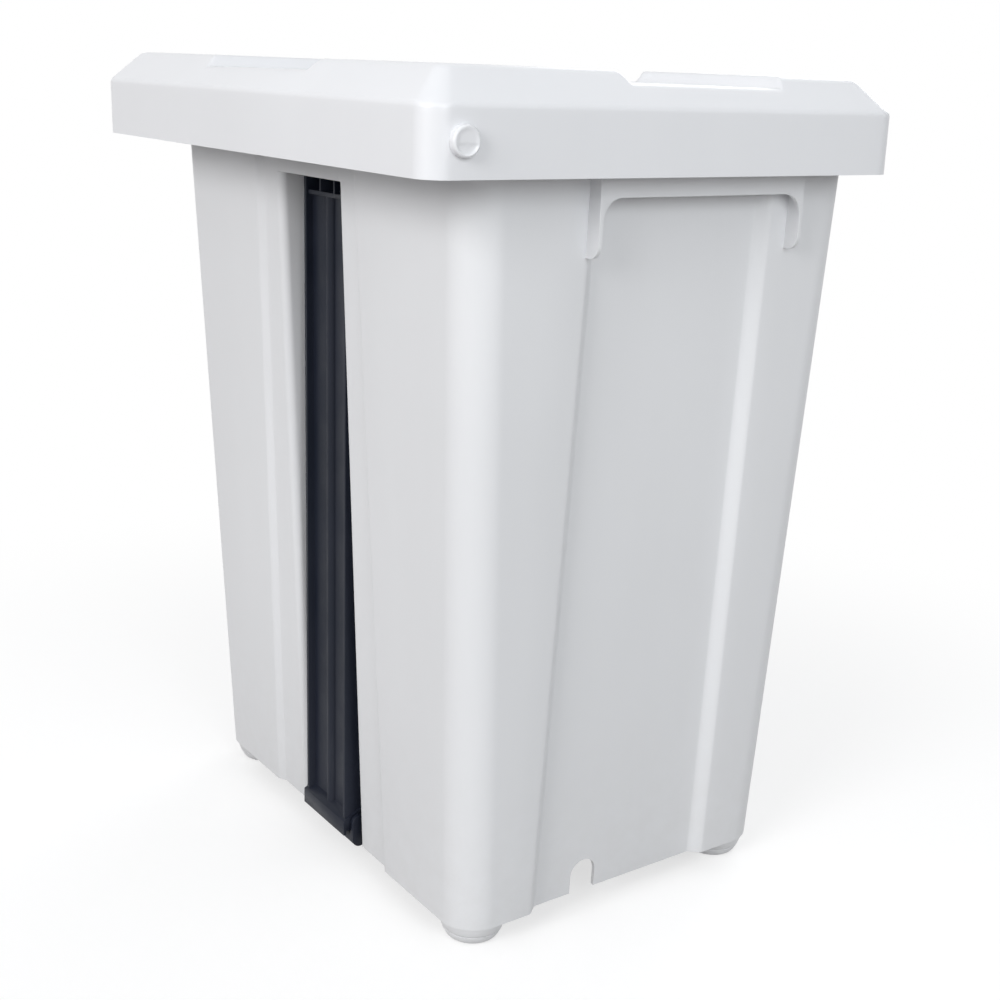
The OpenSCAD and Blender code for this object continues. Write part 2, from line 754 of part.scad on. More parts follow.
// Ribbed rubber pad on the pedal
module pedal_tread() {
    z = tread_z + tread_t;
    m = 6;
    color(rubber) {
        translate([0, 0, z]) linear_extrude(height = tread_pad_t)
            polygon(round_rect(-pedal_w / 2 + m, pedal_w / 2 - m,
                pedal_tip_y + m, pedal_tip_y + tread_d - m, 6));
        for (i = [0:5]) block([-pedal_w / 2 + m + 5, pedal_tip_y + m + 3 + 7 * i, z + tread_pad_t - 0.5],
            [pedal_w / 2 - m - 5, pedal_tip_y + m + 6 + 7 * i, z + tread_pad_t + 1]);
    }
}

module pedal_axle() {
    end = bearing_x + bearing_w + gap + axle_clip_t + 2.5;
    color(steel) difference() {
        bar_x(-end, end, axle_y, axle_z, axle_d / 2);
        both_sides() difference() {
            bar_x(axle_clip_x - gap / 2, axle_clip_x + axle_clip_t + gap / 2, axle_y, axle_z, axle_d);
            bar_x(0, far / 10, axle_y, axle_z, axle_d / 2 - axle_groove);
        }
    }
}

module axle_clips() {
    color(steel) both_sides() clip_ring(axle_clip_x, axle_y, axle_z, axle_clip_t,
        axle_d / 2 - axle_groove + seat_fit, axle_d / 2 + 3.5);
}

module axle_cap(side) {
    color(white) on_side(side) difference() {
        block([bearing_x, axle_y - bearing_half_d, axle_z - cap_h],
            [bearing_x + bearing_w, axle_y + bearing_half_d, axle_z - gap / 2]);
        bar_x(bearing_x - 1, bearing_x + bearing_w + 1, axle_y, axle_z, axle_d / 2 + seat_fit);
        for (s = [-1, 1]) translate([bearing_x + bearing_w / 2, axle_y + s * cap_screw_y, axle_z - cap_h - 1])
            cylinder(h = cap_h + 2, r = cap_screw_d / 2 + 0.3);
    }
}

module axle_cap_left() { axle_cap(-1); }
module axle_cap_right() { axle_cap(1); }

module axle_cap_screws() {
    color(steel) both_sides() for (s = [-1, 1])
        screw(bearing_x + bearing_w / 2, axle_y + s * cap_screw_y, axle_z - cap_h,
            cap_screw_len, cap_screw_d, screw_head_d + 1, screw_head_t);
}

// ---- buffers and feet ----

// Rubber post pushed into the flange
module lid_buffer(side) {
    top = flange_z + flange_t;
    color(rubber) on_side(side) translate([buffer_x, buffer_y, 0]) {
        translate([0, 0, top]) cylinder(h = buffer_top - top, r = buffer_r);
        translate([0, 0, flange_z - 3]) cylinder(h = flange_t + 4, r = buffer_stem_r - 0.1);
        translate([0, 0, flange_z - 3]) cylinder(h = 3 - gap, r = buffer_stem_r + 1);
    }
}

module lid_buffer_left() { lid_buffer(-1); }
module lid_buffer_right() { lid_buffer(1); }

module foot_cap(side, rear) {
    color(white) on_side(side) translate([foot_x(), foot_y(rear), 0]) {
        cylinder(h = foot_cap_h, r1 = foot_tip_r, r2 = foot_radius(foot_cap_h));
        translate([0, 0, foot_cap_h - 1]) cylinder(h = foot_stem_h, r = foot_stem_r - 0.1);
    }
}

module foot_cap_front_left() { foot_cap(-1, false); }
module foot_cap_front_right() { foot_cap(1, false); }
module foot_cap_rear_left() { foot_cap(-1, true); }
module foot_cap_rear_right() { foot_cap(1, true); }

bin_body();
lid();
hinge_pin_left();
hinge_pin_right();
hinge_clip_left();
hinge_clip_right();
lift_bracket();
lift_bracket_screws();
lift_pin();
lift_pin_clips();
push_rod();
pedal_lever();
pedal_tread();
pedal_axle();
axle_clips();
axle_cap_left();
axle_cap_right();
axle_cap_screws();
lid_buffer_left();
lid_buffer_right();
foot_cap_front_left();
foot_cap_front_right();
foot_cap_rear_left();
foot_cap_rear_right();
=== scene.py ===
"""Pedal bin: materials, detailed skin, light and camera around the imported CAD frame."""

import math

import bmesh
import bpy
from mathutils import Matrix, Vector


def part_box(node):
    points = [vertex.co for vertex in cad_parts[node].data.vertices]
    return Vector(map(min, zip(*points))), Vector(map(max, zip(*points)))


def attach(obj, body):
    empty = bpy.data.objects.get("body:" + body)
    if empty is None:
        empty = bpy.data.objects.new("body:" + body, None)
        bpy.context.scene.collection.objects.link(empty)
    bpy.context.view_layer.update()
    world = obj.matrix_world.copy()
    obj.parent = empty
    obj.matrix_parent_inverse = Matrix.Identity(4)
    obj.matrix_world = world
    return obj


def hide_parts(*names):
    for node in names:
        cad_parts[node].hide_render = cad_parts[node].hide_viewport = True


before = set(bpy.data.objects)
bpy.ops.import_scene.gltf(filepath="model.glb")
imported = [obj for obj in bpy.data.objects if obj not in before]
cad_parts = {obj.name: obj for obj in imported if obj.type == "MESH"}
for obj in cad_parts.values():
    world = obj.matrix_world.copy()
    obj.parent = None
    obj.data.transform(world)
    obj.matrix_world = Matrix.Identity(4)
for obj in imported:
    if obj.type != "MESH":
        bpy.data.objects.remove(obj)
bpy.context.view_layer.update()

MM = 0.001
scene = bpy.context.scene
scene.view_settings.view_transform = "Standard"


def mm_box(node):
    """Corners of a CAD node's box in millimetres."""
    lo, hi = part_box(node)
    return [v / MM for v in lo], [v / MM for v in hi]


# ---------------------------------------------------------------- materials


def new_material(name):
    """Material with its node lists and its Principled shader."""
    mat = bpy.data.materials.new(name)
    mat.use_nodes = True
    nodes = mat.node_tree.nodes
    return mat, nodes, mat.node_tree.links, nodes["Principled BSDF"]


def noise_node(nodes, links, scale, detail=3.0, rough=0.5, stretch=(1, 1, 1)):
    """Noise over object coordinates; its Fac output."""
    coord = nodes.new("ShaderNodeTexCoord")
    place = nodes.new("ShaderNodeMapping")
    place.inputs["Scale"].default_value = stretch
    noise = nodes.new("ShaderNodeTexNoise")
    noise.inputs["Scale"].default_value = scale
    noise.inputs["Detail"].default_value = detail
    noise.inputs["Roughness"].default_value = rough
    links.new(coord.outputs["Object"], place.inputs["Vector"])
    links.new(place.outputs["Vector"], noise.inputs["Vector"])
    return noise.outputs["Fac"]


def ramp_node(nodes, links, source, stops):
    """Colour ramp through (position, colour) stops."""
    ramp = nodes.new("ShaderNodeValToRGB")
    ramp.color_ramp.interpolation = "EASE"
    elements = ramp.color_ramp.elements
    while len(elements) < len(stops):
        elements.new(0.5)
    for element, (position, colour) in zip(elements, stops):
        element.position = position
        element.color = (*colour, 1)
    links.new(source, ramp.inputs["Fac"])
    return ramp.outputs["Color"]


def range_node(nodes, links, source, lo, hi):
    """Noise value mapped from 0.3..0.7 to lo..hi."""
    mapped = nodes.new("ShaderNodeMapRange")
    mapped.interpolation_type = "SMOOTHSTEP"
    mapped.inputs["From Min"].default_value = 0.3
    mapped.inputs["From Max"].default_value = 0.7
    mapped.inputs["To Min"].default_value = lo
    mapped.inputs["To Max"].default_value = hi
    links.new(source, mapped.inputs["Value"])
    return mapped.outputs["Result"]


def mix_node(nodes, links, kind, factor, a, b):
    """Colour a mixed with b, which is a colour or a socket, by factor."""
    mix = nodes.new("ShaderNodeMixRGB")
    mix.blend_type = kind
    if isinstance(factor, float):
        mix.inputs["Fac"].default_value = factor
    else:
        links.new(factor, mix.inputs["Fac"])
    links.new(a, mix.inputs["Color1"])
    if isinstance(b, tuple):
        mix.inputs["Color2"].default_value = (*b, 1)
    else:
        links.new(b, mix.inputs["Color2"])
    return mix.outputs["Color"]


def bump_node(nodes, links, height, strength, distance, normal=None):
    """Normal that follows height, on top of another normal if there is one."""
    bump = nodes.new("ShaderNodeBump")
    bump.inputs["Strength"].default_value = strength
    bump.inputs["Distance"].default_value = distance
    links.new(height, bump.inputs["Height"])
    if normal is not None:
        links.new(normal, bump.inputs["Normal"])
    return bump.outputs["Normal"]


def white_plastic(name, tint, rough, grain, dust):
    """Moulded white polypropylene: slow colour drift, flow marks, fine mould grain, dust near the floor."""
    mat, nodes, links, shader = new_material(name)
    low = tuple(0.972 * c for c in tint)
    colour = ramp_node(
        nodes, links, noise_node(nodes, links, 3.5, 2.0), [(0.35, low), (0.65, tint)]
    )
    flow = noise_node(nodes, links, 9.0, 4.0, 0.55, (1.0, 1.0, 0.22))
    streak = ramp_node(
        nodes, links, flow, [(0.38, (0.985, 0.985, 0.985)), (0.62, (1, 1, 1))]
    )
    colour = mix_node(nodes, links, "MULTIPLY", 1.0, colour, streak)
    # dust: a little more of it low down
    coord = nodes.new("ShaderNodeTexCoord")
    split = nodes.new("ShaderNodeSeparateXYZ")
    links.new(coord.outputs["Object"], split.inputs["Vector"])
    height = nodes.new("ShaderNodeMapRange")
    height.inputs["From Min"].default_value = 0.0
    height.inputs["From Max"].default_value = 0.16
    height.inputs["To Min"].default_value = dust
    height.inputs["To Max"].default_value = 0.0
    links.new(split.outputs["Z"], height.inputs["Value"])
    specks = range_node(nodes, links, noise_node(nodes, links, 60.0, 5.0, 0.65), 0, 1)
    amount = nodes.new("ShaderNodeMath")
    amount.operation = "MULTIPLY"
    links.new(height.outputs["Result"], amount.inputs[0])
    links.new(specks, amount.inputs[1])
    colour = mix_node(
        nodes, links, "MIX", amount.outputs["Value"], colour, (0.52, 0.50, 0.47)
    )
    links.new(colour, shader.inputs["Base Color"])
    wear = noise_node(nodes, links, 7.0, 2.0, 0.5)
    links.new(
        range_node(nodes, links, wear, rough - 0.015, rough + 0.02),
        shader.inputs["Roughness"],
    )
    ripple = bump_node(nodes, links, noise_node(nodes, links, 9.0, 0.0), 0.10, 0.001)
    fine = noise_node(nodes, links, 900.0, 2.0, 0.6)
    links.new(
        bump_node(nodes, links, fine, grain, 0.00012, ripple), shader.inputs["Normal"]
    )
    shader.inputs["Specular IOR Level"].default_value = 0.45
    return mat


def dark_plastic(name):
    """Charcoal polypropylene: slight mottling, paler scuffs, fine grain."""
    mat, nodes, links, shader = new_material(name)
    colour = ramp_node(
        nodes,
        links,
        noise_node(nodes, links, 8.0, 3.0),
        [(0.3, (0.007, 0.010, 0.019)), (0.7, (0.012, 0.015, 0.026))],
    )
    scuff = noise_node(nodes, links, 38.0, 6.0, 0.7, (1.0, 1.0, 0.12))
    mask = ramp_node(
        nodes, links, scuff, [(0.62, (0, 0, 0)), (0.80, (0.22, 0.22, 0.22))]
    )
    colour = mix_node(nodes, links, "MIX", mask, colour, (0.06, 0.065, 0.075))
    links.new(colour, shader.inputs["Base Color"])
    links.new(
        range_node(nodes, links, noise_node(nodes, links, 30.0, 4.0), 0.40, 0.52),
        shader.inputs["Roughness"],
    )
    shader.inputs["Specular IOR Level"].default_value = 0.22
    links.new(
        bump_node(
            nodes, links, noise_node(nodes, links, 700.0, 2.0, 0.6), 0.25, 0.00015
        ),
        shader.inputs["Normal"],
    )
    return mat


def rubber_material(name):
    """Dark grey rubber: faint mottling and a matt, slightly rough surface."""
    mat, nodes, links, shader = new_material(name)
    colour = ramp_node(
        nodes,
        links,
        noise_node(nodes, links, 45.0, 4.0),
        [(0.3, (0.030, 0.030, 0.032)), (0.7, (0.050, 0.050, 0.052))],
    )
    links.new(colour, shader.inputs["Base Color"])
    links.new(
        range_node(nodes, links, noise_node(nodes, links, 60.0, 4.0), 0.66, 0.84),
        shader.inputs["Roughness"],
    )
    links.new(
        bump_node(nodes, links, noise_node(nodes, links, 500.0, 3.0), 0.35, 0.0002),
        shader.inputs["Normal"],
    )
    return mat


def steel_material(name):
    """Zinc-plated steel: cloudy plating with fine lines along the part."""
    mat, nodes, links, shader = new_material(name)
    colour = ramp_node(
        nodes,
        links,
        noise_node(nodes, links, 90.0, 3.0),
        [(0.3, (0.50, 0.51, 0.53)), (0.7, (0.63, 0.64, 0.66))],
    )
    links.new(colour, shader.inputs["Base Color"])
    shader.inputs["Metallic"].default_value = 1.0
    links.new(
        range_node(nodes, links, noise_node(nodes, links, 220.0, 4.0), 0.22, 0.38),
        shader.inputs["Roughness"],
    )
    links.new(
        bump_node(
            nodes,
            links,
            noise_node(nodes, links, 600.0, 2.0, 0.5, (0.1, 1, 1)),
            0.15,
            0.0001,
        ),
        shader.inputs["Normal"],
    )
    return mat


MATERIALS = {
    "body_plastic": white_plastic(
        "white_body_plastic", (0.785, 0.795, 0.815), 0.44, 0.20, 0.10
    ),
    "lid_plastic": white_plastic(
        "white_lid_plastic", (0.805, 0.815, 0.840), 0.30, 0.10, 0.0
    ),
    "dark_plastic": dark_plastic("charcoal_plastic"),
    "rubber": rubber_material("grey_rubber"),
    "steel": steel_material("zinc_plated_steel"),
}

# ---------------------------------------------------------------- mesh helpers


def clamp01(t):
    return min(max(t, 0.0), 1.0)


def ease(t):
    t = clamp01(t)
    return t * t * (3 - 2 * t)


def lerp(a, b, t):
    return a + (b - a) * t


def finish_shading(obj, angle=32):
    """Smooth shading that keeps edges sharper than angle."""
    obj.data.polygons.foreach_set("use_smooth", [True] * len(obj.data.polygons))
    obj.data.set_sharp_from_angle(angle=math.radians(angle))


def add_piece(name, verts, faces, body, slot, weld=0.0):
    """Mesh object from points in millimetres, riding on a CAD body."""
    mesh = bpy.data.meshes.new(name)
    mesh.from_pydata([[c * MM for c in v] for v in verts], [], faces)
    bm = bmesh.new()
    bm.from_mesh(mesh)
    if weld:
        bmesh.ops.remove_doubles(bm, verts=bm.verts, dist=weld * MM)
    bmesh.ops.recalc_face_normals(bm, faces=bm.faces)
    bm.to_mesh(mesh)
    bm.free()
    obj = bpy.data.objects.new(name, mesh)
    scene.collection.objects.link(obj)
    mesh.materials.append(MATERIALS[slot])
    if body:
        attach(obj, body)
    return obj


def settle(obj):
    """Applies the modifiers of obj."""
    graph = bpy.context.evaluated_depsgraph_get()
    mesh = bpy.data.meshes.new_from_object(obj.evaluated_get(graph))
    obj.modifiers.clear()
    old, obj.data = obj.data, mesh
    bpy.data.meshes.remove(old)


def thicken(obj, wall):
    """Gives a skin a wall of that many millimetres, inwards from its outer face."""
    thick = obj.modifiers.new("wall", "SOLIDIFY")
    thick.thickness = wall * MM
    thick.offset = -1
    thick.use_even_offset = True
    settle(obj)


def cut(obj, cutters):
    """Subtracts each Shape of cutters from obj."""
    for i, shape in enumerate(cutters):
        tool = add_piece(f"cutter_{i}", shape.verts, shape.faces, None, "body_plastic")
        modifier = obj.modifiers.new("cut", "BOOLEAN")
        modifier.operation = "DIFFERENCE"
        modifier.solver = "EXACT"
        modifier.object = tool
        settle(obj)
        bpy.data.objects.remove(tool)


def soften(obj, width, segments=2, angle=35):
    """Rounds the edges of obj with a bevel."""
    bevel = obj.modifiers.new("soft_edges", "BEVEL")
    bevel.width = width * MM
    bevel.segments = segments
    bevel.limit_method = "ANGLE"
    bevel.angle_limit = math.radians(angle)
    bevel.use_clamp_overlap = True
    return obj


def grid_faces(rows, columns, closed):
    """Quads between rows of columns points; closed joins each row's end to its start."""
    last = columns if closed else columns - 1
    return [
        [
            r * columns + c,
            r * columns + (c + 1) % columns,
            (r + 1) * columns + (c + 1) % columns,
            (r + 1) * columns + c,
        ]
        for r in range(rows - 1)
        for c in range(last)
    ]


class Shape:
    """Closed solids gathered into one mesh, in millimetres."""

    def __init__(self):
        self.verts, self.faces = [], []

    def add(self, verts, faces):
        """Adds a mesh whose faces count from its own first point."""
        base = len(self.verts)
        self.verts += [tuple(v) for v in verts]
        self.faces += [[i + base for i in f] for f in faces]
        return self

    def prism(self, outline, place, depth):
        """Outline of (u, v) points swept by depth; place maps (u, v, w) to a point."""
        n = len(outline)
        verts = [place(u, v, 0) for u, v in outline]
        verts += [place(u, v, depth) for u, v in outline]
        faces = [list(range(n))[::-1], list(range(n, 2 * n))]
        faces += [[i, (i + 1) % n, (i + 1) % n + n, i + n] for i in range(n)]
        return self.add(verts, faces)

    def block(self, a, b):
        """Box from its low corner a to its high corner b."""
        outline = [(a[0], a[1]), (b[0], a[1]), (b[0], b[1]), (a[0], b[1])]
        return self.prism(outline, lambda u, v, w: (u, v, a[2] + w), b[2] - a[2])

    def turned(self, section, place, segments, faces):
        """Section of (along, radius) points turned round an axis; place maps (along, a, b)."""
        verts = []
        for along, radius in section:
            for i in range(segments):
                t = 2 * math.pi * i / segments
                verts.append(place(along, radius * math.cos(t), radius * math.sin(t)))
        return self.add(verts, faces)

    def lathe(self, profile, place, segments=40):
        """Solid of an open profile, closed by a flat disc at each end."""
        last = (len(profile) - 1) * segments
        faces = grid_faces(len(profile), segments, True)
        faces.append(list(range(segments))[::-1])
        faces.append([last + i for i in range(segments)])
        return self.turned(profile, place, segments, faces)

    def ring(self, section, place, segments=40):
        """Solid ring of a closed section."""
        count = len(section)
        faces = [
            [
                k * segments + i,
                k * segments + (i + 1) % segments,
                ((k + 1) % count) * segments + (i + 1) % segments,
                ((k + 1) % count) * segments + i,
            ]
            for k in range(count)
            for i in range(segments)
        ]
        return self.turned(section, place, segments, faces)

    def piece(self, name, body, slot, width=0.0, angle=35):
        """The gathered solids as one named piece, edges rounded by width."""
        obj = add_piece(name, self.verts, self.faces, body, slot)
        if width:
            soften(obj, width, angle=angle)
            settle(obj)
        finish_shading(obj)
        return obj


def spread(a, b, n):
    """n points from a up to, but not including, b."""
    return [a + (b - a) * i / n for i in range(n)]


def arc(cx, cy, r, a0, a1, n):
    """n points of an arc, its end left out; degrees."""
    return [
        (cx + r * math.cos(math.radians(a)), cy + r * math.sin(math.radians(a)))
        for a in spread(a0, a1, n)
    ]


# ---------------------------------------------------------------- body skin

lid_lo, lid_hi = mm_box("lid")
rod_hi = mm_box("push_rod")[1]
cap_lo, cap_hi = mm_box("foot_cap_rear_right")
pin_lo, pin_hi = mm_box("hinge_pin_right")
axle_lo, axle_hi = mm_box("pedal_axle")
# sizes and places in millimetres; x to the right, y towards the rear, z up
LID_Y = (lid_lo[1] + lid_hi[1]) / 2
SKIRT_Z = lid_lo[2]
TOP_Z = lid_hi[2]
AXLE_Y = (axle_lo[1] + axle_hi[1]) / 2
AXLE_Z = (axle_lo[2] + axle_hi[2]) / 2
HINGE_Y = (pin_lo[1] + pin_hi[1]) / 2
HINGE_Z = (pin_lo[2] + pin_hi[2]) / 2
# body: the walls taper evenly from z = 0 (FOOT) to the lid's skirt (TOP)
RIM_Z = SKIRT_Z + 38
HEM_Z = 17
BASE_Z = HEM_Z + 52
WALL = 3
FOOT_HALF, TOP_HALF = 200, 218
FOOT_REAR, FOOT_FRONT = 129, -163
TOP_REAR = lid_hi[1] - 50
TOP_FRONT = lid_lo[1] + 4.5
FOOT_MID = (TOP_REAR + TOP_FRONT) / 2
CORNER = 28
# panels pressed into the four walls, and how wide their edges fade in and out
SIDE_DEPTH, END_DEPTH = 7.5, 4
PANEL_HALF_FOOT, PANEL_HALF_TOP = 92, 76
PANEL_FADE_IN, PANEL_FADE_OUT = 8, 1
SIDE_REAR_FOOT, SIDE_REAR_TOP = FOOT_MID + 87, LID_Y + 50
SIDE_FRONT_FOOT, SIDE_FRONT_TOP = FOOT_MID - 84, LID_Y - 110
SIDE_FADE_IN, SIDE_FADE_OUT = 11, 1
# rod channel; its slot's rounded lip is small above the slot, behind the bridge
SLOT_HALF, SLOT_Z, BRIDGE_TOP = 44.5, SKIRT_Z - 17, SKIRT_Z - 4
SLOT_ROUND = 2
ROD_FACE = 132.25
CHANNEL_Y = ROD_FACE - 24
LIP, LIP_TOP = 6.5, 1.0
# bottom: level at the rear, and climbing from TOE_START to the front
TOE_START = AXLE_Y + 22
TOE_RISE = 106
# flanges that carry the hinge ears and the buffers, feet and hand grips
FLANGE_Z = HINGE_Z + 2
FLANGE = 3
FOOT_LOW_R, FOOT_TOP_R = 20, 26
GRIP_Z = SKIRT_Z - 14
GRIP_FRONT, GRIP_REAR = LID_Y - 128, LID_Y + 53
GRIP_REACH, GRIP_DROP, GRIP_WALL = 11.5, 39, 3
GRIP_ROUND, GRIP_SHOULDER = 15, 9


def body_half(z):
    return lerp(FOOT_HALF, TOP_HALF, z / SKIRT_Z)


def body_rear(z):
    return lerp(FOOT_REAR, TOP_REAR, z / SKIRT_Z)


def body_front(z):
    return lerp(FOOT_FRONT, TOP_FRONT, z / SKIRT_Z)


def half_outline(z):
    """Right half of the body's outline, from the rod channel round to the middle of the front."""
    k = z / SKIRT_Z
    lip = LIP if z < SLOT_Z else LIP_TOP
    half, rear, front = body_half(z), body_rear(z), body_front(z)
    edge = lerp(PANEL_HALF_FOOT, PANEL_HALF_TOP, k)
    edge_in, edge_out = edge - PANEL_FADE_IN, edge + PANEL_FADE_OUT
    side_rear = lerp(SIDE_REAR_FOOT, SIDE_REAR_TOP, k)
    side_front = lerp(SIDE_FRONT_FOOT, SIDE_FRONT_TOP, k)
    rear_out, rear_in = side_rear + SIDE_FADE_OUT, side_rear - SIDE_FADE_IN
    front_in, front_out = side_front + SIDE_FADE_IN, side_front - SIDE_FADE_OUT
    floor = rear - END_DEPTH
    slot_corner = CHANNEL_Y + SLOT_ROUND
    end_steps, side_steps = spread(0, 1, 10), spread(0, 1, 12)
    # rod channel and the lip of its slot
    pts = [(x, CHANNEL_Y) for x in spread(0, SLOT_HALF - SLOT_ROUND, 4)]
    pts += arc(SLOT_HALF - SLOT_ROUND, slot_corner, SLOT_ROUND, -90, 0, 4)
    pts += [(SLOT_HALF, y) for y in spread(slot_corner, floor - lip, 3)]
    pts += arc(SLOT_HALF + lip, floor - lip, lip, 180, 90, 10)
    # rear panel, then the corner column
    pts += [(x, floor) for x in spread(SLOT_HALF + lip, edge_in, 3)]
    pts += [(lerp(edge_in, edge_out, t), floor + END_DEPTH * ease(t)) for t in end_steps]
    pts += [(x, rear) for x in spread(edge_out, half - CORNER, 4)]
    pts += arc(half - CORNER, rear - CORNER, CORNER, 90, 0, 18)
    # side panel
    pts += [(half, y) for y in spread(rear - CORNER, rear_out, 2)]
    pts += [(half - SIDE_DEPTH * ease(t), lerp(rear_out, rear_in, t)) for t in side_steps]
    pts += [(half - SIDE_DEPTH, y) for y in spread(rear_in, front_in, 12)]
    pts += [
        (half - SIDE_DEPTH * (1 - ease(t)), lerp(front_in, front_out, t))
        for t in side_steps
    ]
    # front column and front panel
    pts += [(half, y) for y in spread(front_out, front + CORNER, 3)]
    pts += arc(half - CORNER, front + CORNER, CORNER, 0, -90, 18)
    pts += [(x, front) for x in spread(half - CORNER, edge_out, 4)]
    pts += [(lerp(edge_out, edge_in, t), front + END_DEPTH * ease(t)) for t in end_steps]
    pts += [(x, front + END_DEPTH) for x in spread(edge_in, 0, 6)]
    return pts + [(0, front + END_DEPTH)]


def outline(z):
    """The body's whole outline at height z."""
    half = half_outline(z)
    return half + [(-x, y) for x, y in half[-2:0:-1]]


def body_rows():
    """Heights at which the body's outline is laid, from the hem up to the rim."""
    rows = [HEM_Z, HEM_Z + 2, HEM_Z + 6]
    rows += spread(HEM_Z + 12, SLOT_Z - 0.5, 44)
    return rows + [SLOT_Z - 0.5, SLOT_Z + 0.5, BRIDGE_TOP, RIM_Z - 20, RIM_Z - 3, RIM_Z]


def width_at(z, y, inset):
    """Half width of the body's wall, inset behind its outer face, at height z and depth y."""
    pts = half_outline(z)
    best = 0
    for (x0, y0), (x1, y1) in zip(pts, pts[1:]):
        if min(y0, y1) - 1e-9 <= y <= max(y0, y1) + 1e-9 and abs(y1 - y0) > 1e-9:
            best = max(best, x0 + (x1 - x0) * (y - y0) / (y1 - y0))
    return best - inset


def bottom_height(y):
    """Height of the underside of the bin's bottom, which climbs towards the front."""
    rise = TOE_RISE / (TOE_START - body_front(BASE_Z + TOE_RISE) + 10)
    return BASE_Z + max(0, TOE_START - y) * rise


def slab(y_list, x_inner, shape):
    """Bottom plate over the depths y_list; x_inner maps the wall's half width and 0..1 to x."""
    n = len(y_list)
    across = 8
    verts = []
    for lift in (0, WALL):
        for y in y_list:
            z = bottom_height(y) + lift
            w = width_at(z, y, WALL / 2)
            verts += [(x_inner(w, i / across), y, z) for i in range(across + 1)]
    size = n * (across + 1)
    low = grid_faces(n, across + 1, False)
    faces = [f[::-1] for f in low] + [[i + size for i in f] for f in low]
    row = across + 1
    ring = list(range(row))
    ring += [r * row + across for r in range(1, n)]
    ring += [(n - 1) * row + c for c in range(across - 1, -1, -1)]
    ring += [r * row for r in range(n - 2, 0, -1)]
    for a, b in zip(ring, ring[1:] + ring[:1]):
        faces.append([a, b, b + size, a + size])
    shape.add(verts, faces)


def lever_way():
    """Cutter for the lever's way in under the rod channel."""
    low = (-SLOT_HALF + 0.05, CHANNEL_Y - 8, -2)
    return Shape().block(low, (SLOT_HALF - 0.05, CHANNEL_Y + 2, BASE_Z))


def toe_arch():
    """Cutter for the arch over the pedal."""
    top, r, half = BASE_Z + 84, 30, 84
    start, depth = FOOT_FRONT - 60, 70
    arch = [(-half, -5), (half, -5)]
    arch += arc(half - r, top - r, r, 0, 90, 10)
    arch += arc(-half + r, top - r, r, 90, 180, 10)
    arch.append((-half, top - r))
    return Shape().prism(arch, lambda u, v, w: (u, start + w, v), depth)


def side_notch(side):
    """Cutter for the notch in a lower side edge."""
    y, z, r = LID_Y + 10, HEM_Z + 14.5, 11.5
    start, depth = FOOT_HALF - 30, 60
    notch = [(y - r, -5), (y + r, -5)]
    notch += arc(y, z, r, 0, 180, 16)
    notch.append((y - r, z))
    return Shape().prism(notch, lambda u, v, w: (side * (start + w), u, v), depth)


def build_body_skin():
    """Tapering wall with its pressed panels, rod channel, toe arch and notches."""
    rows = body_rows()
    loops = [outline(z) for z in rows]
    verts = [(x, y, z) for loop, z in zip(loops, rows) for x, y in loop]
    faces = grid_faces(len(rows), len(loops[0]), True)
    skin = add_piece("body_skin", verts, faces, "bin", "body_plastic")
    # the outer face turns out from the bin's middle: tested far out on the side, at half height
    middle = 0.3
    sample = max(
        skin.data.polygons,
        key=lambda f: f.center.x + (abs(f.center.z - middle) < 0.05),
    )
    if sample.normal.dot(sample.center - Vector((0, 0, middle))) < 0:
        skin.data.flip_normals()
    thicken(skin, WALL)
    cut(skin, [lever_way(), toe_arch(), side_notch(-1), side_notch(1)])
    finish_shading(skin, 30)
    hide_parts("bin_body")


def build_body_floor():
    """Bottom of the bin: one plate ahead of the rod channel, one on each side of it."""
    parts = Shape()
    ys = spread(CHANNEL_Y - WALL / 2, TOE_START, 36)
    ys += spread(TOE_START, body_front(BASE_Z + 96) + 6, 60)
    ys.append(body_front(BASE_Z + 101) + 5.5)
    slab(ys, lambda w, t: lerp(-w, w, t), parts)
    corner_ys = [CHANNEL_Y - WALL / 2]
    corner_ys += [CHANNEL_Y + behind for behind in (3.75, 8.75, 12.75)]
    corner_ys.append(body_rear(BASE_Z) - 6)
    for side in (-1, 1):
        slab(corner_ys, lambda w, t, s=side: s * lerp(SLOT_HALF + 1, w, t), parts)
    parts.piece("body_floor", "bin", "body_plastic")


def foot_radius(z):
    return lerp(FOOT_LOW_R, FOOT_TOP_R, z / HEM_Z)


def build_bridge():
    """Bridge above the rod slot, flush with the rear panel."""
    x = SLOT_HALF + LIP_TOP + 0.4
    verts = []
    for z in (SLOT_Z, BRIDGE_TOP):
        y = body_rear(z) - END_DEPTH
        verts += [(-x, y - WALL, z), (x, y - WALL, z), (x, y, z), (-x, y, z)]
    faces = [[3, 2, 1, 0], [4, 5, 6, 7]]
    faces += [[i, (i + 1) % 4, (i + 1) % 4 + 4, i + 4] for i in range(4)]
    Shape().add(verts, faces).piece("rod_bridge", "bin", "body_plastic")


def side_block(shape, side, a, b):
    """Box from a to b on the right of the bin, or its mirror image on the left."""
    xs = sorted((side * a[0], side * b[0]))
    shape.block((xs[0], a[1], a[2]), (xs[1], b[1], b[2]))


